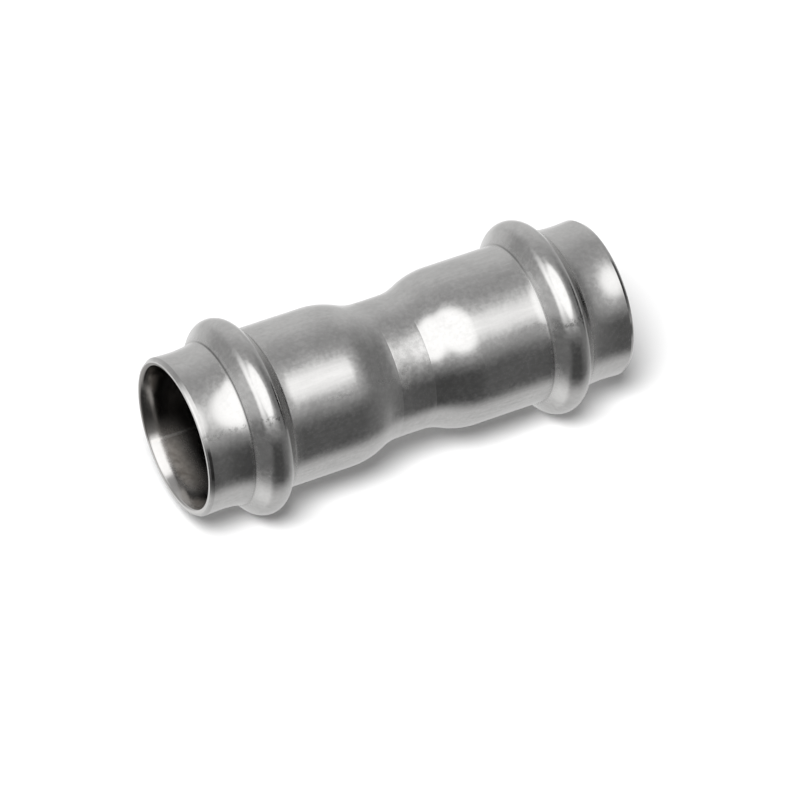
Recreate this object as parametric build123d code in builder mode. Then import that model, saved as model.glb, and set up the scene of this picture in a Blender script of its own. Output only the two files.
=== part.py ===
"""Straight press coupling: one formed steel tube with two sockets, and a rubber ring in each bead.

The axis is Z. The lower mouth lies at z = 0 and the upper mouth at z = overall_length.
Lengths are in millimetres and angles in degrees.
"""
import os
from math import acos, cos, degrees, radians, tan

from build123d import *

# Tube that the sockets take
tube_diameter = 15.0
socket_clearance = 0.15  # radial gap between the tube and the socket's wall

# Sheet thickness
barrel_wall = 1.2  # barrels, necks and waist
lip_wall = 0.955  # at the corner of the lip's hollow, which its large radius then fills by 0.09
crest_wall = 1.07  # thinned over the top of the bead

# Seal ring
seal_cord = 2.2
seal_clearance = 0.05  # radial gap between the ring and the tube before pressing
seal_gap = 0.03  # gap all round between the ring and its groove

# Bead, outside
bead_setback = 7.57  # mouth to the middle of the bead
bead_crest_radius = 1.65
bead_flank_slope = 54.0  # measured from the axis
bead_foot_radius = 0.55

# Lip, outside: two slight cones that open to the mouth and to the bead, blended into one hollow
lip_hollow_depth = 2.8  # mouth to where the cones meet
lip_mouth_slope = 3.5  # measured from the axis
lip_bead_slope = 7.0  # measured from the axis
lip_hollow_radius = 22.0

# Barrel's flare at the bead, outside
flare_depth = 3.15  # middle of the bead to the start of the flare
flare_slope = 8.0  # measured from the axis
flare_radius = 9.5

# Groove, inside the bead
groove_flank_slope = 68.0  # measured from the axis
groove_edge_radius = 0.6

# Mouth
lead_in = 0.33  # how far the bevel opens the bore, radially
lead_in_depth = 1.0
rim_chamfer = 0.4  # length of the bevel on the lip's outer edge, along the axis
rim_slope = 35.0  # measured from the axis

# Barrel, neck and waist
barrel_length = 10.33  # middle of the bead to the start of the neck
neck_length = 6.2
neck_waist_share = 0.43  # share of the neck that curves outwards from the waist
stop_step = 1.35  # how far the waist closes in on the bore, as the tube's stop
waist_length = 2.6

# Radii that follow from the tube, the ring and the walls
socket_radius = tube_diameter / 2 + socket_clearance
lip_radius = socket_radius + lip_wall
barrel_radius = socket_radius + barrel_wall
waist_bore_radius = socket_radius - stop_step
seal_centre_radius = tube_diameter / 2 + seal_clearance + seal_cord / 2
groove_radius = seal_cord / 2 + seal_gap
bead_radius = seal_centre_radius + groove_radius + crest_wall

# Heights above the fitting's middle, where the sections are drawn
waist_top = waist_length / 2
neck_top = waist_top + neck_length
bead_height = neck_top + barrel_length
mouth_height = bead_height + bead_setback
overall_length = 2 * mouth_height

# The neck is two tangent arcs that turn by the same angle, one on the waist and one on the barrel
neck_radius_sum = (neck_length**2 + stop_step**2) / (2 * stop_step)
neck_angle = degrees(acos(1 - stop_step / neck_radius_sum))
waist_arc_radius = neck_waist_share * neck_radius_sum
barrel_arc_radius = neck_radius_sum - waist_arc_radius


def crossing(start, slope, other, other_slope):
    """Corner where a sloping line through start meets a sloping line through other.

    A point is (radius, height), and a positive slope widens upwards.
    """
    rise = tan(radians(slope))
    other_rise = tan(radians(other_slope))
    gap = other[0] - start[0] + rise * start[1] - other_rise * other[1]
    height = gap / (rise - other_rise)
    return (start[0] + rise * (height - start[1]), height)


def ridge_apex(centre_radius, crest_radius, slope):
    """Point above bead_height where the flanks of a round-topped ridge would meet.

    The flanks are tangent to a crest arc about centre_radius.
    """
    return (centre_radius + crest_radius / cos(radians(slope)), bead_height)


def neck(start, barrel_arc, waist_arc):
    """Draw the neck's two arcs inwards and down from start, a point on the barrel."""
    shoulder = JernArc(start, (0, -1), barrel_arc, -neck_angle)
    return JernArc(shoulder @ 1, shoulder % 1, waist_arc, neck_angle)


# Body
mouth_edge = (socket_radius + lead_in, mouth_height)
lip_hollow = (lip_radius, mouth_height - lip_hollow_depth)
lip_edge = crossing(lip_hollow, lip_mouth_slope, (0, mouth_height - rim_chamfer), 90)
rim_edge = crossing(lip_edge, -rim_slope, (0, mouth_height), 90)
bead_apex = ridge_apex(bead_radius - bead_crest_radius, bead_crest_radius, bead_flank_slope)
lip_foot = crossing(bead_apex, -bead_flank_slope, lip_hollow, -lip_bead_slope)
flare_start = (barrel_radius, bead_height - flare_depth)
barrel_foot = crossing(bead_apex, bead_flank_slope, flare_start, flare_slope)
groove_apex = ridge_apex(seal_centre_radius, groove_radius, groove_flank_slope)
bore = (socket_radius, bead_height)
with BuildPart() as body:
    with BuildSketch(Plane.XZ.shift_origin((0, 0, mouth_height))):
        with BuildLine():
            outside = FilletPolyline(
                mouth_edge,
                rim_edge,
                lip_edge,
                lip_hollow,
                lip_foot,
                bead_apex,
                barrel_foot,
                flare_start,
                (barrel_radius, neck_top),
                radius=[
                    0,
                    0,
                    lip_hollow_radius,
                    bead_foot_radius,
                    bead_crest_radius,
                    bead_foot_radius,
                    flare_radius,
                ],
            )
            outer_neck = neck(outside @ 1, barrel_arc_radius, waist_arc_radius)
            inside = FilletPolyline(
                mouth_edge,
                (socket_radius, mouth_height - lead_in_depth),
                crossing(groove_apex, -groove_flank_slope, bore, 0),
                groove_apex,
                crossing(groove_apex, groove_flank_slope, bore, 0),
                (socket_radius, neck_top),
                radius=[0, groove_edge_radius, groove_radius, groove_edge_radius],
            )
            inner_neck = neck(
                inside @ 1, barrel_arc_radius - barrel_wall, waist_arc_radius + barrel_wall
            )
            Line(outer_neck @ 1, (waist_bore_radius + barrel_wall, 0))
            Line(inner_neck @ 1, (waist_bore_radius, 0))
            mirror(about=Plane.XZ)
        make_face()
    revolve(axis=Axis.Z)
body.part.label = "body"
os.makedirs("parts", exist_ok=True)
export_step(body.part, "parts/body.step")

# Seal rings
seal_heights = {
    "lower_seal": bead_setback,
    "upper_seal": overall_length - bead_setback,
}
for name, height in seal_heights.items():
    with BuildPart() as seal:
        with BuildSketch(Plane.XZ):
            with Locations((seal_centre_radius, height)):
                Circle(seal_cord / 2)
        revolve(axis=Axis.Z)
    seal.part.label = name
    export_step(seal.part, f"parts/{name}.step")
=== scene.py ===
from math import acos, ceil, cos, degrees, pi, radians, sin, tan

import bpy
from mathutils import Matrix, Vector


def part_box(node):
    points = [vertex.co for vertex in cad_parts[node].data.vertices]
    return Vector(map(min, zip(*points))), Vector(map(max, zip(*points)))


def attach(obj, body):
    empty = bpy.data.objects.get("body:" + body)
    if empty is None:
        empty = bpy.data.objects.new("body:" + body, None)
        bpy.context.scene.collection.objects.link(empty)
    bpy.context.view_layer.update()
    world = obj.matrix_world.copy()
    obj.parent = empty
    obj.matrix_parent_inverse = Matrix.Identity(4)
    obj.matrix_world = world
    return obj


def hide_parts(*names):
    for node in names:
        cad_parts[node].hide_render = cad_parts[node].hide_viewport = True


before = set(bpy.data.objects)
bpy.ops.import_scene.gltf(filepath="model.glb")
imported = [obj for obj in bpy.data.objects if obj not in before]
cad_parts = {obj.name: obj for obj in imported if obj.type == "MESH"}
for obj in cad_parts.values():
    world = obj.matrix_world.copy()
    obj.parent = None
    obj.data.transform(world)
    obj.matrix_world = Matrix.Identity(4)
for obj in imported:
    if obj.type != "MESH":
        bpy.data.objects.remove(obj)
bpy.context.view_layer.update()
scene = bpy.context.scene
scene.view_settings.view_transform = "Standard"

# Sizes that the CAD parts in model.glb give, in millimetres
MM = 0.001
body_low, body_high = (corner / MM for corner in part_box("body"))
overall_length = body_high.z - body_low.z
middle_height = overall_length / 2
bead_radius = body_high.y
seal_low, seal_high = (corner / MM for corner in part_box("lower_seal"))
bead_height = (seal_low.z + seal_high.z) / 2
seal_cord = seal_high.z - seal_low.z
seal_centre = seal_high.y - seal_cord / 2

# Where the CAD body's walls are probed, in millimetres
RIM_PROBE = 0.005
HOLLOW_PROBE = 2.1
BARREL_PROBE = 14
PROBE_ASIDE = 0.001
PROBE_FAR = 1000


def wall_at(height):
    """Inner and outer radius of the CAD body at a height, found by a ray each way along X."""
    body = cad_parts["body"]
    from_axis = (0, PROBE_ASIDE * MM, height * MM)
    from_far = (PROBE_FAR * MM, PROBE_ASIDE * MM, height * MM)
    _, inner, _, _ = body.ray_cast(from_axis, (1, 0, 0))
    _, outer, _, _ = body.ray_cast(from_far, (-1, 0, 0))
    return inner.x / MM, outer.x / MM


mouth_bore, rim_edge_radius = wall_at(RIM_PROBE)
socket_radius, hollow_radius = wall_at(HOLLOW_PROBE)
_, barrel_radius = wall_at(BARREL_PROBE)
waist_bore, waist_radius = wall_at(middle_height)

# Sizes of the form, in millimetres, with heights from the lower mouth; slopes are in degrees
# from the axis
rim_chamfer = 0.45
rim_crest_share = 0.7
rim_corner_radius = 0.06
rim_inner_radius = 0.34
lip_hollow_height = 2.8
lip_hollow_radius = 14
lip_mouth_slope = 3
lip_bead_slope = 6
lip_rise_height = 4.5
lip_rise_radius = 6
lip_rise_slope = 16
lip_bore_squeeze = 0.08
lip_bore_end = 4.6
lip_bore_radius = 14
bead_crest_radius = 1.8
bead_mouth_slope = 49
bead_barrel_slope = 52
lip_foot_radius = 0.15
barrel_foot_radius = 0.3
flare_reach = 3.15
flare_slope = 3.5
flare_radius = 9.5
groove_slope = 68
groove_gap = 0.03
groove_edge_radius = 0.6
lead_in_height = 1.6
lead_in_radius = 5.5
neck_start = 17.9
neck_end = 24.1
neck_waist_share = 0.43
land_half_length = 1.95
land_hollow = 0.027

# Half width and depth of each fine groove
lip_foot_crease = (0.07, 0.009)
land_crease = (0.09, 0.003)

# The tube's weld, as a ridge along the bore
weld_turn = 140
weld_half_width = 0.22
weld_height = 0.035
weld_fade_in = 3.0

# Fineness of the mesh: steps of an arc are in degrees, and radii and runs in millimetres
COLUMNS = 180
GENTLE_STEP = 2
TIGHT_STEP = 8
TIGHT_RADIUS = 1.2
LEAST_STEPS = 3
LONGEST_RUN = 1.0
SHORTEST_RUN = 0.004

# Shares of each small form at which its line has points
CREASE_SHARES = (-1, -0.75, -0.5, -0.25, 0, 0.25, 0.5, 0.75, 1)
LAND_SHARES = (0, 0.03, 0.2, 0.4, 0.6, 0.8, 1)
WELD_SHARES = (-1, -0.5, 0, 0.5, 1)


# Profile, as points of radius and height
def crossing(start, slope, other, other_slope):
    """Corner where two sloping lines meet, each through a point; a positive slope widens upwards."""
    rise = tan(radians(slope))
    other_rise = tan(radians(other_slope))
    height = (other.x - start.x + rise * start.y - other_rise * other.y) / (rise - other_rise)
    return Vector((start.x + rise * (height - start.y), height))


def ridge_apex(centre_radius, crest_radius, slope, far_slope):
    """Where the flanks of a round-topped ridge about bead_height would meet."""
    near = Vector((centre_radius + crest_radius / cos(radians(slope)), bead_height))
    far = Vector((centre_radius + crest_radius / cos(radians(far_slope)), bead_height))
    return crossing(near, slope, far, -far_slope)


def rounded(corners, radii):
    """Points of a polyline whose inner corners are rounded, each by its own radius."""
    points = [corners[0]]
    for before, corner, after, radius in zip(corners, corners[1:], corners[2:], radii):
        back_way = (before - corner).normalized()
        on_way = (after - corner).normalized()
        half = back_way.angle(on_way) / 2
        turn = pi - 2 * half
        step = TIGHT_STEP if radius < TIGHT_RADIUS else GENTLE_STEP
        steps = max(LEAST_STEPS, ceil(degrees(turn) / step))
        centre = corner + (back_way + on_way).normalized() * radius / sin(half)
        arm = corner + back_way * radius / tan(half) - centre
        side = 1 if arm.x * back_way.y - arm.y * back_way.x < 0 else -1
        for index in range(steps + 1):
            points.append(centre + Matrix.Rotation(side * turn * index / steps, 2) @ arm)
    points.append(corners[-1])
    return points


def spaced(points):
    """The same line with no doubled points, and with points added on its long runs."""
    line = [points[0]]
    for end in points[1:]:
        start = line[-1]
        length = (end - start).length
        parts = ceil(length / LONGEST_RUN) if length > SHORTEST_RUN else 0
        line += [start.lerp(end, part / parts) for part in range(1, parts + 1)]
    return line


def radius_at(points, height):
    """Radius of the line at a height."""
    for low, high in zip(points, points[1:]):
        if low.y <= height <= high.y and high.y > low.y:
            return low.x + (high.x - low.x) * (height - low.y) / (high.y - low.y)
    return points[-1].x


def creased(points, height, crease):
    """The line with a fine groove cut into it at a height."""
    half_width, depth = crease
    groove = []
    for share in CREASE_SHARES:
        place = height + share * half_width
        cut = depth * (1 - share**2) ** 2
        groove.append(Vector((radius_at(points, place) - cut, place)))
    before = [point for point in points if point.y < height - half_width]
    after = [point for point in points if point.y > height + half_width]
    return before + groove + after


def neck(outer_radius, inner_radius, outer_arc, inner_arc, turn):
    """Corners of the neck's two tangent arcs."""
    return [
        Vector((outer_radius, neck_start + outer_arc * tan(turn / 2))),
        Vector((inner_radius, neck_end - inner_arc * tan(turn / 2))),
    ]


def both_halves(points):
    """The line and its mirror image above the middle."""
    return points + [Vector((point.x, overall_length - point.y)) for point in reversed(points[:-1])]


# The neck's arcs: each turns by neck_turn, and their radii add up to arc_sum
step_in = barrel_radius - waist_radius
arc_sum = ((neck_end - neck_start) ** 2 + step_in**2) / (2 * step_in)
neck_turn = acos(1 - step_in / arc_sum)
waist_arc = neck_waist_share * arc_sum
barrel_arc = arc_sum - waist_arc
wall = barrel_radius - socket_radius

# Outside, from the rim's crest to the middle
rim_crest = Vector((mouth_bore + rim_crest_share * (rim_edge_radius - mouth_bore), 0))
hollow_fill = lip_hollow_radius * (1 / cos(radians(lip_mouth_slope + lip_bead_slope) / 2) - 1)
lip_hollow = Vector((hollow_radius - hollow_fill, lip_hollow_height))
lip_edge_radius = lip_hollow.x + tan(radians(lip_mouth_slope)) * (lip_hollow_height - rim_chamfer)
lip_rise = lip_hollow + Vector((tan(radians(lip_bead_slope)), 1)) * (lip_rise_height - lip_hollow_height)
bead_centre = bead_radius - bead_crest_radius
bead_apex = ridge_apex(bead_centre, bead_crest_radius, bead_mouth_slope, bead_barrel_slope)
flare_start = Vector((barrel_radius, bead_height + flare_reach))
lip_foot = crossing(lip_rise, lip_rise_slope, bead_apex, bead_mouth_slope)
barrel_foot = crossing(bead_apex, -bead_barrel_slope, flare_start, -flare_slope)
outside = rounded(
    [
        rim_crest,
        Vector((rim_edge_radius, 0)),
        Vector((lip_edge_radius, rim_chamfer)),
        lip_hollow,
        lip_rise,
        lip_foot,
        bead_apex,
        barrel_foot,
        flare_start,
        *neck(barrel_radius, waist_radius, barrel_arc, waist_arc, neck_turn),
        Vector((waist_radius, middle_height)),
    ],
    [
        rim_corner_radius,
        rim_corner_radius,
        lip_hollow_radius,
        lip_rise_radius,
        lip_foot_radius,
        bead_crest_radius,
        barrel_foot_radius,
        flare_radius,
        barrel_arc,
        waist_arc,
    ],
)
outside = creased(outside, lip_foot.y, lip_foot_crease)

# The land round the waist, hollowed a little from its edge to the middle
land_height = middle_height - land_half_length
land_edge_radius = radius_at(outside, land_height)
outside = [point for point in outside if point.y < land_height]
for share in LAND_SHARES:
    radius = land_edge_radius - land_hollow * (1 - (1 - share) ** 2)
    outside.append(Vector((radius, land_height + land_half_length * share)))
outside = creased(outside, land_height, land_crease)

# Inside, from the rim's crest to the middle
groove_radius = seal_cord / 2 + groove_gap
groove_apex = ridge_apex(seal_centre, groove_radius, groove_slope, groove_slope)
bore = Vector((socket_radius, bead_height))
squeezed_bore = socket_radius - lip_bore_squeeze
inside = rounded(
    [
        rim_crest,
        Vector((mouth_bore, 0)),
        Vector((squeezed_bore, lead_in_height)),
        Vector((squeezed_bore, lip_hollow_height)),
        Vector((socket_radius, lip_bore_end)),
        crossing(bore, 0, groove_apex, groove_slope),
        groove_apex,
        crossing(groove_apex, -groove_slope, bore, 0),
        *neck(socket_radius, waist_bore, barrel_arc - wall, waist_arc + wall, neck_turn),
        Vector((waist_bore, middle_height)),
    ],
    [
        rim_inner_radius,
        lead_in_radius,
        lip_bore_radius,
        lip_bore_radius,
        groove_edge_radius,
        groove_radius,
        groove_edge_radius,
        barrel_arc - wall,
        waist_arc + wall,
    ],
)

# The whole section, as one closed loop
outer_line = both_halves(spaced(outside))
inner_line = both_halves(spaced(inside))
loop = outer_line + inner_line[-2:0:-1]
inner_start = len(outer_line) - 1


# Body
def turned_body(outer_steel, inner_steel):
    """The profile turned about the axis, with the tube's weld as a low ridge along the bore."""
    weld_spread = degrees(weld_half_width / socket_radius)
    even_turns = {360 * column / COLUMNS for column in range(COLUMNS)}
    weld_turns = {weld_turn + weld_spread * share for share in WELD_SHARES}
    turns = sorted(even_turns | weld_turns)
    vertices = []
    for turn in turns:
        weld = weld_height * max(0, 1 - ((turn - weld_turn) / weld_spread) ** 2)
        for index, point in enumerate(loop):
            radius = point.x
            if index > inner_start:
                depth = min(point.y, overall_length - point.y)
                radius -= weld * min(1, depth / weld_fade_in)
            vertices.append(
                (radius * cos(radians(turn)) * MM, radius * sin(radians(turn)) * MM, point.y * MM)
            )
    count = len(loop)
    faces = []
    materials = []
    for column in range(len(turns)):
        here = column * count
        there = (column + 1) % len(turns) * count
        for row in range(count):
            after = (row + 1) % count
            faces.append((here + row, there + row, there + after, here + after))
            materials.append(1 if row >= inner_start else 0)
    mesh = bpy.data.meshes.new("turned_body")
    mesh.from_pydata(vertices, [], faces)
    mesh.shade_smooth()
    mesh.materials.append(outer_steel)
    mesh.materials.append(inner_steel)
    mesh.polygons.foreach_set("material_index", materials)
    mesh.update()
    body = bpy.data.objects.new("turned_body", mesh)
    scene.collection.objects.link(body)
    return body


# Node trees
class Graph:
    """A node tree with short calls; a value is a socket or a constant."""

    def __init__(self, tree):
        self.tree = tree

    def node(self, kind, **settings):
        made = self.tree.nodes.new(kind)
        for name, value in settings.items():
            setattr(made, name, value)
        return made

    def plug(self, value, socket):
        if isinstance(value, bpy.types.NodeSocket):
            self.tree.links.new(value, socket)
        else:
            socket.default_value = value

    def maths(self, operation, *values):
        made = self.node("ShaderNodeMath", operation=operation)
        for value, socket in zip(values, made.inputs):
            self.plug(value, socket)
        return made.outputs[0]

    def plus(self, first, *others):
        for other in others:
            first = self.maths("ADD", first, other)
        return first

    def minus(self, first, other):
        return self.maths("SUBTRACT", first, other)

    def times(self, first, *others):
        for other in others:
            first = self.maths("MULTIPLY", first, other)
        return first

    def distance(self, value, centre):
        """How far a value is from centre, either way."""
        return self.maths("ABSOLUTE", self.minus(value, centre))

    def turn_about_axis(self, x, y):
        """Turn about the axis, in degrees."""
        return self.maths("DEGREES", self.maths("ARCTAN2", y, x))

    def turn_between(self, turn, centre):
        """Degrees from one turn to another, by the shorter way."""
        return self.maths("PINGPONG", self.minus(turn, centre), 180.0)

    def fade(self, value, low, high, start=0.0, end=1.0):
        """Smooth step from start, at low, to end, at high."""
        made = self.node("ShaderNodeMapRange", interpolation_type="SMOOTHSTEP")
        for name, part in (
            ("Value", value),
            ("From Min", low),
            ("From Max", high),
            ("To Min", start),
            ("To Max", end),
        ):
            self.plug(part, made.inputs[name])
        return made.outputs[0]

    def fade_out(self, value, low, high):
        """Smooth step from one, at low, to zero, at high."""
        return self.fade(value, low, high, 1.0, 0.0)

    def vary(self, noise, spread, start, end):
        """Smooth step from start to end, between spread below the noise's middle and spread above."""
        return self.fade(noise, 0.5 - spread, 0.5 + spread, start, end)

    def blend(self, share, a, b):
        """Blend of two numbers."""
        made = self.node("ShaderNodeMix", data_type="FLOAT")
        for name, value in (("Factor", share), ("A", a), ("B", b)):
            self.plug(value, made.inputs[name])
        return made.outputs["Result"]

    def tint(self, share, a, b):
        """Blend of two colours."""
        made = self.node("ShaderNodeMix", data_type="RGBA")
        for socket, value in ((made.inputs[0], share), (made.inputs[6], a), (made.inputs[7], b)):
            self.plug(value, socket)
        return made.outputs[2]

    def split(self, vector):
        made = self.node("ShaderNodeSeparateXYZ")
        self.plug(vector, made.inputs[0])
        return made.outputs

    def join(self, x, y, z):
        made = self.node("ShaderNodeCombineXYZ")
        for value, socket in zip((x, y, z), made.inputs):
            self.plug(value, socket)
        return made.outputs[0]

    def noise(self, vector, size, detail, roughness):
        """Noise from 0 to 1 whose patches are about size across, in the vector's units."""
        made = self.node("ShaderNodeTexNoise")
        self.plug(vector, made.inputs["Vector"])
        self.plug(1 / size, made.inputs["Scale"])
        self.plug(detail, made.inputs["Detail"])
        self.plug(roughness, made.inputs["Roughness"])
        return made.outputs[0]

    def bump(self, relief, height, before=None):
        """Normal of a relief of the given height in millimetres; another bump can come before it."""
        made = self.node("ShaderNodeBump")
        made.inputs["Strength"].default_value = 1
        made.inputs["Distance"].default_value = height * MM
        self.plug(relief, made.inputs["Height"])
        if before is not None:
            self.plug(before, made.inputs["Normal"])
        return made.outputs[0]


# Studio: levels of its shapes, as strengths of the world
WALL_FOOT = 0.39
WALL = 0.69
BACKDROP = 0.90
LIT_GROUND = 1.02
DIM_SIDE = 0.39
DARK_SIDE = 0.20
POLE = 0.60
DARK_POLE = 0.36
CARD_TOP = 0.19
CARD_MIDDLE = 0.085
CARD_FOOT = 0.20
SPILL = 0.62
GLOW_FOOT = 1.62
GLOW_TOP = 1.30
SOFT_BOX = 1.66
CEILING_BEHIND = 0.50
CEILING_IN_FRONT = 0.24
CEILING_SLOT = 0.01
FOR_DULL_RAYS = 0.15
WHITE = 1.0

# Studio: the card's turn, and the soft box's place, lean and size, in degrees
CARD_TURN = 18
BOX_TURN = -60.0
BOX_LEAN = 11.0
BOX_RISE = -8.0
BOX_HALF_WIDTH = 34.5
BOX_HALF_HEIGHT = 33.0


def build_studio():
    """The world: white for the camera, and a studio of soft shapes round the axis for the steel."""
    world = bpy.data.worlds.new("studio")
    scene.world = world
    world.use_nodes = True
    world.cycles.sampling_method = "NONE"
    world.node_tree.nodes.clear()
    graph = Graph(world.node_tree)
    x, y, z = graph.split(graph.node("ShaderNodeTexCoord").outputs["Generated"])
    turn = graph.turn_about_axis(x, y)
    rise = graph.maths("DEGREES", graph.maths("ARCSINE", z))

    def sector(centre, half_width, soft):
        """One inside a sector of turns about the axis, fading to zero past it."""
        off = graph.turn_between(turn, centre)
        return graph.fade_out(off, half_width - soft / 2, half_width + soft / 2)

    # A range of z, the sine of the rise, is where a shape starts to fade and where it ends

    # Walls, backdrop, ground, the sides away from the lamps, and the lower pole
    level = graph.fade(z, -0.69, 0.0, WALL_FOOT, WALL)
    backdrop = sector(centre=150, half_width=11, soft=16)
    backdrop = graph.times(backdrop, graph.fade(z, -0.6, -0.2))
    level = graph.blend(backdrop, level, BACKDROP)
    lit_ground = sector(centre=122, half_width=48, soft=40)
    lit_ground = graph.times(lit_ground, graph.fade_out(z, -0.52, -0.08))
    level = graph.blend(lit_ground, level, LIT_GROUND)
    level = graph.blend(sector(centre=-107, half_width=24, soft=56), level, DIM_SIDE)
    level = graph.blend(sector(centre=-64, half_width=36, soft=20), level, DARK_SIDE)
    pole = graph.blend(sector(centre=30, half_width=42, soft=30), POLE, DARK_POLE)
    level = graph.blend(graph.fade(z, -0.84, -0.98), level, pole)

    # A dark card beside the object, as a strip along the axis
    card_x = cos(radians(CARD_TURN))
    card_y = sin(radians(CARD_TURN))
    ahead = graph.plus(graph.times(x, card_x), graph.times(y, card_y))
    across = graph.minus(graph.times(y, card_x), graph.times(x, card_y))
    card = graph.times(graph.fade_out(across, 0.45, 0.80), graph.fade(ahead, -0.12, 0.18))
    lower_card = graph.fade(z, -0.4, -0.9, CARD_MIDDLE, CARD_FOOT)
    level = graph.blend(card, level, graph.blend(graph.fade(z, 0.1, 0.7), lower_card, CARD_TOP))

    # The soft box's spill, and the glow below it
    spill = sector(centre=-57, half_width=41, soft=45)
    spill = graph.times(spill, graph.fade_out(z, 0.35, 0.9))
    level = graph.blend(spill, level, SPILL)
    glow = sector(centre=-72, half_width=43, soft=44)
    glow = graph.times(glow, graph.fade_out(z, -0.62, -0.35), graph.fade(z, -0.97, -0.85))
    level = graph.blend(glow, level, graph.fade(z, -0.75, -0.6, GLOW_FOOT, GLOW_TOP))

    # The soft box, an oval that leans a little across the axis
    off_turn = graph.turn_between(turn, graph.plus(graph.times(z, BOX_LEAN), BOX_TURN))
    off_rise = graph.minus(rise, BOX_RISE)
    wide = graph.maths("POWER", graph.maths("DIVIDE", off_turn, BOX_HALF_WIDTH), 2.0)
    high = graph.maths("POWER", graph.maths("DIVIDE", off_rise, BOX_HALF_HEIGHT), 2.0)
    reach = graph.maths("SQRT", graph.plus(wide, high))
    level = graph.blend(graph.fade_out(reach, 0.84, 1.16), level, SOFT_BOX)

    # Above, dark in front and paler behind
    in_front = sector(centre=-30, half_width=95, soft=90)
    ceiling = graph.blend(in_front, CEILING_BEHIND, CEILING_IN_FRONT)
    level = graph.blend(graph.fade(z, 0.58, 0.84), level, ceiling)
    slot = graph.times(in_front, graph.fade(z, 0.94, 0.975))
    level = graph.blend(slot, level, CEILING_SLOT)

    path = graph.node("ShaderNodeLightPath")
    level = graph.blend(path.outputs["Is Glossy Ray"], FOR_DULL_RAYS, level)
    white = graph.maths("MAXIMUM", path.outputs["Is Camera Ray"], path.outputs["Is Transmission Ray"])
    level = graph.blend(white, level, WHITE)
    background = graph.node("ShaderNodeBackground")
    background.inputs["Color"].default_value = (1, 1, 1, 1)
    graph.plug(level, background.inputs["Strength"])
    graph.plug(background.outputs[0], graph.node("ShaderNodeOutputWorld").inputs[0])


build_studio()

# How far to each side of its middle a noise is used, before it is cut off
SHARP_SPREAD = 0.15
SOFT_SPREAD = 0.2

# Outer steel: where its marks lie, as turns in degrees and distances from a mouth in millimetres.
# A pair is where a mark starts to fade and where it ends, and behind is its share past that.
DRAWN_START = (10.0, 11.0)
DRAWN_END = (18.5, 21.5)
DRAWN_STRETCH = 9.0
LAND_SOFTNESS = 0.05
WORN_TURN = -44
WORN_REACH = (12, 36)
WORN_BEHIND = 0.15
# The lines at the bead's feet are painted shade in the creases, darkest on the side that faces the soft
# box
FOOT_SHADE_TURN = -70
FOOT_SHADE_TURN_REACH = (32, 60)
FOOT_SHADE_BEHIND = 0.25
FOOT_SHADE_REACH = (0.02, 0.14)
FOOT_BAND_REACH = (0.10, 0.50)
SCUFF_TURN = -35
SCUFF_WANDER = 22.0
SCUFF_REACH = (0.5, 3.5)
SCUFF_BREAKS = (0.46, 0.60)
SCUFF_FAINT = 0.12
CREST_REACH = (0.9, 1.6)
BEVEL_START = (0.12, 0.24)
BEVEL_END = (0.40, 0.52)
EDGE_PATCH_SOFTNESS = 3
END_SOFTNESS = 1

# Height of each foot, and how dark the painted shade in its crease is at the lower end and at the upper
# end
FOOT_SHADE_LINES = ((lip_foot.y, 0.55, 0.12), (barrel_foot.y, 0.40, 0.45))

# End of the part, 0 for the lower one, then turn and half width of each dark patch on the cut edges
EDGE_DARK_PATCHES = ((0.0, -15, 12), (1.0, -49, 14), (1.0, -11, 5))

# Outer steel: reflectance, then the share of it that each mark leaves
STEEL_SHADES = (0.585, 0.635)
GRAIN_SHARES = (0.95, 1.04)
DRAWN_SHARES = (0.96, 1.03)
MOTTLED_SHARES = (0.82, 1.04)
SCUFF_SHARE = 0.74
SCUFFED_CREST_SHARE = 0.45
BEVEL_SHARE = 0.90
EDGE_PATCH_SHARE = 0.24
STEEL_GREEN = 0.992
STEEL_BLUE = 0.980

# Outer steel: roughness, then what each mark adds to it
GRAIN_ROUGHNESS = (0.15, 0.22)
CLOUD_ROUGHNESS = (-0.02, 0.03)
WORN_ROUGHNESS = 0.06
FOOT_ROUGHNESS = 0.10
SCUFF_ROUGHNESS = 0.12

# Bore: where its marks lie, in the same way
LEAD_IN_END = (1.2, 3.0)
LEAD_IN_RAGGED = (-0.25, 0.25)
HEAT_TURN = weld_turn - 24
HEAT_REACH = (8, 46)
HEAT_START = (0.9, 2.0)
HEAT_END = (1.8, 5.0)
BURNT_PATCHES = (0.38, 0.64)
SHADED_TURN = weld_turn + 62
SHADED_REACH = (54, 64)
SHADED_TINT = 0.8
WELD_REACH = (0.6, 1.8)
WELD_TINT = 0.5

# Bore: colours
LEAD_IN = (0.61, 0.60, 0.59, 1)
# Past the lead-in the bore is duller steel, also painted darker as shade
DEEP = (0.27, 0.26, 0.25, 1)
SHADED = (0.17, 0.16, 0.15, 1)
HEATED = (0.40, 0.37, 0.34, 1)
BURNT = (0.22, 0.20, 0.18, 1)
WELD = (0.64, 0.62, 0.60, 1)

# Bore: roughness, what its grain adds, and how metallic the heated steel is
LEAD_IN_ROUGHNESS = 0.16
DEEP_ROUGHNESS = 0.22
HEATED_ROUGHNESS = 0.36
BORE_GRAIN_ROUGHNESS = (-0.02, 0.03)
HEATED_METALLIC = 0.60

# Rubber: colours and roughness, without its bloom and with it
BLOOM_PATCHES = (0.4, 0.7)
RUBBER = (0.018, 0.018, 0.019, 1)
BLOOM = (0.034, 0.034, 0.036, 1)
RUBBER_ROUGHNESS = 0.38
BLOOM_ROUGHNESS = 0.55

# Heights of the reliefs, in millimetres
DRAWN_RELIEF = 0.0008
STEEL_RELIEF = 0.0022
FINE_RELIEF = 0.002


# Materials
def principled(name):
    material = bpy.data.materials.new(name)
    material.use_nodes = True
    tree = material.node_tree
    return material, Graph(tree), tree.nodes["Principled BSDF"]


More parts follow.
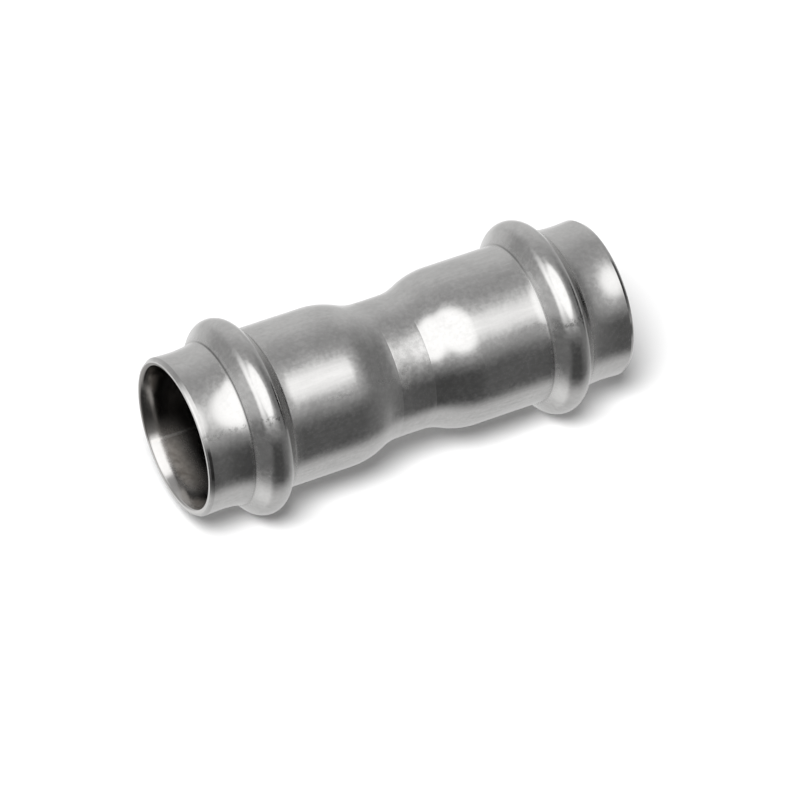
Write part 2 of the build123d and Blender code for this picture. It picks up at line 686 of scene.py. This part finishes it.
def in_mm(graph):
    """The object's own coordinates, in millimetres."""
    scaled = graph.node("ShaderNodeVectorMath", operation="SCALE")
    graph.plug(graph.node("ShaderNodeTexCoord").outputs["Object"], scaled.inputs[0])
    scaled.inputs["Scale"].default_value = 1 / MM
    return scaled.outputs[0]


class Tube:
    """Where a shader's place is on the fitting: turn in degrees, and distances in millimetres."""

    def __init__(self, graph, place):
        self.graph = graph
        self.x, self.y, self.z = graph.split(place)
        self.turn = graph.turn_about_axis(self.x, self.y)
        self.from_middle = graph.distance(self.z, middle_height)
        self.from_mouth = graph.minus(middle_height, self.from_middle)

    def turn_from(self, centre):
        return self.graph.turn_between(self.turn, centre)

    def by_end(self, lower, upper):
        """One value in the lower half of the fitting, and the other in the upper half."""
        low = middle_height - END_SOFTNESS
        high = middle_height + END_SOFTNESS
        return self.graph.blend(self.graph.fade(self.z, low, high), lower, upper)


def foot_shade_and_band(graph, tube):
    """Share of light left by the painted shade in the creases at the bead's feet, and a wider band about
    them.
    """
    in_front = graph.fade(tube.turn_from(FOOT_SHADE_TURN), *FOOT_SHADE_TURN_REACH, 1.0, FOOT_SHADE_BEHIND)
    light = 1.0
    band = 0.0
    for height, lower_share, upper_share in FOOT_SHADE_LINES:
        off = graph.distance(tube.from_mouth, height)
        line = graph.times(in_front, tube.by_end(lower_share, upper_share))
        line = graph.times(line, graph.fade_out(off, *FOOT_SHADE_REACH))
        light = graph.times(light, graph.minus(1.0, line))
        band = graph.plus(band, graph.fade_out(off, *FOOT_BAND_REACH))
    return light, band


def scuff_marks(graph, place, tube, clouds):
    """A scuffed line along the part, broken into specks: the share of light it leaves, and where."""
    wander = graph.times(graph.minus(clouds, 0.5), SCUFF_WANDER)
    off = graph.distance(graph.minus(tube.turn, wander), SCUFF_TURN)
    specks = graph.noise(place, size=0.45, detail=3.0, roughness=0.7)
    stretches = graph.noise(place, size=7.0, detail=1.0, roughness=0.5)
    stretches = graph.fade(stretches, *SCUFF_BREAKS, SCUFF_FAINT, 1.0)
    crest = graph.fade_out(graph.distance(tube.from_mouth, bead_height), *CREST_REACH)
    scuff = graph.times(
        graph.fade_out(off, *SCUFF_REACH),
        graph.fade(specks, *SCUFF_BREAKS),
        graph.blend(crest, stretches, 1.0),
    )
    left = graph.blend(crest, SCUFF_SHARE, SCUFFED_CREST_SHARE)
    return graph.blend(scuff, 1.0, left), scuff


def edge_marks(graph, tube):
    """Share of light that the bevels of the cut edges leave, darker in a few patches."""
    bevel = graph.times(
        graph.fade(tube.from_mouth, *BEVEL_START), graph.fade_out(tube.from_mouth, *BEVEL_END)
    )
    dark_patches = 0.0
    for end, centre, half_width in EDGE_DARK_PATCHES:
        low = half_width - EDGE_PATCH_SOFTNESS
        high = half_width + EDGE_PATCH_SOFTNESS
        patch = graph.fade_out(tube.turn_from(centre), low, high)
        dark_patches = graph.plus(dark_patches, graph.times(patch, tube.by_end(1.0 - end, end)))
    return graph.blend(bevel, 1.0, graph.blend(dark_patches, BEVEL_SHARE, EDGE_PATCH_SHARE))


def outer_steel():
    """Pickled steel: grain, draw lines, a worn waist, painted shade in the creases at the feet, a
    scuffed line and edges darker in patches.
    """
    material, graph, shader = principled("outer_steel")
    place = in_mm(graph)
    tube = Tube(graph, place)
    grain = graph.noise(place, size=0.50, detail=3.0, roughness=0.55)
    clouds = graph.noise(place, size=3.5, detail=3.0, roughness=0.55)
    stretched = graph.join(tube.x, tube.y, graph.maths("DIVIDE", tube.z, DRAWN_STRETCH))
    drawn = graph.noise(stretched, size=0.40, detail=3.0, roughness=0.6)
    mottled = graph.noise(place, size=0.8, detail=4.0, roughness=0.65)
    barrel = graph.times(
        graph.fade(tube.from_mouth, *DRAWN_START), graph.fade_out(tube.from_mouth, *DRAWN_END)
    )
    land_start = land_half_length - LAND_SOFTNESS
    land_end = land_half_length + LAND_SOFTNESS
    land = graph.fade_out(tube.from_middle, land_start, land_end)
    worn = graph.times(land, graph.fade(tube.turn_from(WORN_TURN), *WORN_REACH, 1.0, WORN_BEHIND))
    # Painted shade in the creases at the bead's feet, and the band about them that is rougher
    foot_painted_shade, foot_band = foot_shade_and_band(graph, tube)
    scuff_light, scuff = scuff_marks(graph, place, tube, clouds)

    shade = graph.times(
        graph.vary(clouds, SHARP_SPREAD, *STEEL_SHADES),
        graph.vary(grain, SOFT_SPREAD, *GRAIN_SHARES),
        graph.blend(barrel, 1.0, graph.vary(drawn, SOFT_SPREAD, *DRAWN_SHARES)),
        graph.blend(worn, 1.0, graph.vary(mottled, SHARP_SPREAD, *MOTTLED_SHARES)),
        foot_painted_shade,
        scuff_light,
        edge_marks(graph, tube),
    )
    colour = graph.node("ShaderNodeCombineColor")
    graph.plug(shade, colour.inputs[0])
    graph.plug(graph.times(shade, STEEL_GREEN), colour.inputs[1])
    graph.plug(graph.times(shade, STEEL_BLUE), colour.inputs[2])
    graph.plug(colour.outputs[0], shader.inputs["Base Color"])
    shader.inputs["Metallic"].default_value = 1

    rough = graph.plus(
        graph.vary(grain, SHARP_SPREAD, *GRAIN_ROUGHNESS),
        graph.vary(clouds, SHARP_SPREAD, *CLOUD_ROUGHNESS),
        graph.times(worn, WORN_ROUGHNESS),
        graph.times(foot_band, FOOT_ROUGHNESS),
        graph.times(scuff, SCUFF_ROUGHNESS),
    )
    graph.plug(rough, shader.inputs["Roughness"])

    lines = graph.bump(graph.times(drawn, barrel), DRAWN_RELIEF)
    graph.plug(graph.bump(grain, STEEL_RELIEF, lines), shader.inputs["Normal"])
    return material


def inner_steel():
    """The bore: a polished lead-in, then duller steel painted darker as shade deeper in, with the pale
    weld and heat oxide beside it and painted shade on one side.
    """
    material, graph, shader = principled("inner_steel")
    place = in_mm(graph)
    tube = Tube(graph, place)
    grain = graph.noise(place, size=0.35, detail=2.0, roughness=0.5)
    patches = graph.noise(place, size=1.3, detail=4.0, roughness=0.6)
    ragged = graph.plus(tube.from_mouth, graph.vary(grain, SOFT_SPREAD, *LEAD_IN_RAGGED))
    # Past the lead-in the colour darkens: duller steel, and painted shade deeper in the bore
    deep = graph.fade(ragged, *LEAD_IN_END)
    heat = graph.times(
        graph.fade_out(tube.turn_from(HEAT_TURN), *HEAT_REACH),
        graph.fade(tube.from_mouth, *HEAT_START),
        graph.fade_out(tube.from_mouth, *HEAT_END),
    )
    burnt = graph.times(heat, graph.fade(patches, *BURNT_PATCHES))
    shaded = graph.fade(tube.turn_from(SHADED_TURN), *SHADED_REACH, SHADED_TINT, 0.0)
    weld = graph.fade(tube.turn_from(weld_turn), *WELD_REACH, WELD_TINT, 0.0)

    colour = graph.tint(deep, LEAD_IN, DEEP)
    for share, other in ((shaded, SHADED), (heat, HEATED), (burnt, BURNT), (weld, WELD)):
        colour = graph.tint(share, colour, other)
    graph.plug(colour, shader.inputs["Base Color"])
    graph.plug(graph.blend(heat, 1.0, HEATED_METALLIC), shader.inputs["Metallic"])

    rough = graph.blend(deep, LEAD_IN_ROUGHNESS, DEEP_ROUGHNESS)
    rough = graph.blend(heat, rough, HEATED_ROUGHNESS)
    rough = graph.plus(rough, graph.vary(grain, SOFT_SPREAD, *BORE_GRAIN_ROUGHNESS))
    graph.plug(rough, shader.inputs["Roughness"])
    graph.plug(graph.bump(grain, FINE_RELIEF), shader.inputs["Normal"])
    return material


def rubber():
    """Moulded black rubber with a faint bloom."""
    material, graph, shader = principled("rubber")
    place = in_mm(graph)
    grain = graph.noise(place, size=0.12, detail=3.0, roughness=0.6)
    clouds = graph.noise(place, size=2.0, detail=3.0, roughness=0.55)
    bloom = graph.fade(clouds, *BLOOM_PATCHES)
    graph.plug(graph.tint(bloom, RUBBER, BLOOM), shader.inputs["Base Color"])
    graph.plug(graph.blend(bloom, RUBBER_ROUGHNESS, BLOOM_ROUGHNESS), shader.inputs["Roughness"])
    graph.plug(graph.bump(grain, FINE_RELIEF), shader.inputs["Normal"])
    return material


body = turned_body(outer_steel(), inner_steel())
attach(body, "root")
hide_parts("body")
seal_rubber = rubber()
for name in ("lower_seal", "upper_seal"):
    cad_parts[name].material_slots[0].material = seal_rubber


# Ground and floor
PLANE_SIZE = 4.0
PLANE_COLOUR = (0.93, 0.93, 0.93, 1)
PLANE_GLOW = 0.04


def pale_plane(name, centre, normal):
    """A white plane that takes the object's shadow and can't be seen from behind."""
    mesh = bpy.data.meshes.new(name)
    half = PLANE_SIZE / 2
    corners = [(-half, -half, 0), (half, -half, 0), (half, half, 0), (-half, half, 0)]
    mesh.from_pydata(corners, [], [(0, 1, 2, 3)])
    plane = bpy.data.objects.new(name, mesh)
    plane.location = centre
    plane.rotation_mode = "QUATERNION"
    plane.rotation_quaternion = Vector(normal).to_track_quat("Z", "Y")
    plane.visible_diffuse = False
    plane.visible_glossy = False
    plane.visible_transmission = False
    plane.visible_shadow = False
    scene.collection.objects.link(plane)
    material = bpy.data.materials.new(name)
    material.use_nodes = True
    material.node_tree.nodes.clear()
    graph = Graph(material.node_tree)
    diffuse = graph.node("ShaderNodeBsdfDiffuse")
    diffuse.inputs[0].default_value = PLANE_COLOUR
    glow = graph.node("ShaderNodeEmission")
    glow.inputs[0].default_value = (1, 1, 1, 1)
    glow.inputs[1].default_value = PLANE_GLOW
    lit = graph.node("ShaderNodeAddShader")
    graph.plug(diffuse.outputs[0], lit.inputs[0])
    graph.plug(glow.outputs[0], lit.inputs[1])
    front_only = graph.node("ShaderNodeMixShader")
    graph.plug(graph.node("ShaderNodeNewGeometry").outputs["Backfacing"], front_only.inputs[0])
    graph.plug(lit.outputs[0], front_only.inputs[1])
    graph.plug(graph.node("ShaderNodeBsdfTransparent").outputs[0], front_only.inputs[2])
    graph.plug(front_only.outputs[0], graph.node("ShaderNodeOutputMaterial").inputs[0])
    mesh.materials.append(material)


pale_plane("ground", (0, bead_radius * MM, middle_height * MM), (0, -1, 0))
pale_plane("floor", (0, 0, 0), (0, 0, 1))


# Lamps
KEY_TURN = -61
KEY_SLOPE = -0.40


def sun(name, direction, strength, spread):
    """A lamp far off in a direction, spread over an angle in degrees."""
    data = bpy.data.lights.new(name, "SUN")
    data.energy = strength * pi
    data.angle = radians(spread)
    lamp = bpy.data.objects.new(name, data)
    lamp.rotation_mode = "QUATERNION"
    lamp.rotation_quaternion = Vector(direction).to_track_quat("Z", "Y")
    lamp.visible_glossy = False
    scene.collection.objects.link(lamp)


key_direction = (cos(radians(KEY_TURN)), sin(radians(KEY_TURN)), KEY_SLOPE)
sun("key", key_direction, strength=1.13, spread=24)
sun("top", (0, 0, 1), strength=0.82, spread=40)

# Camera, at the photograph's angle; its distances are from the fitting's middle, in millimetres
CAMERA_BACK = (0.6807, -0.6369, -0.3619)
CAMERA_RIGHT = (0.4694, 0, 0.8830)
CAMERA_DISTANCE = 649
CAMERA_SHIFT = 1.37
CAMERA_DROP = 3.57
SENSOR_WIDTH = 36
FOCAL_LENGTH = 274

middle = Vector((0, 0, middle_height))
back = Vector(CAMERA_BACK).normalized()
right = Vector(CAMERA_RIGHT).normalized()
up = back.cross(right)
camera_data = bpy.data.cameras.new("camera")
camera_data.sensor_width = SENSOR_WIDTH
camera_data.lens = FOCAL_LENGTH
camera = bpy.data.objects.new("camera", camera_data)
camera.matrix_world = Matrix((right, up, back)).transposed().to_4x4()
camera.location = (middle + CAMERA_DISTANCE * back + CAMERA_SHIFT * right - CAMERA_DROP * up) * MM
scene.collection.objects.link(camera)
scene.camera = camera
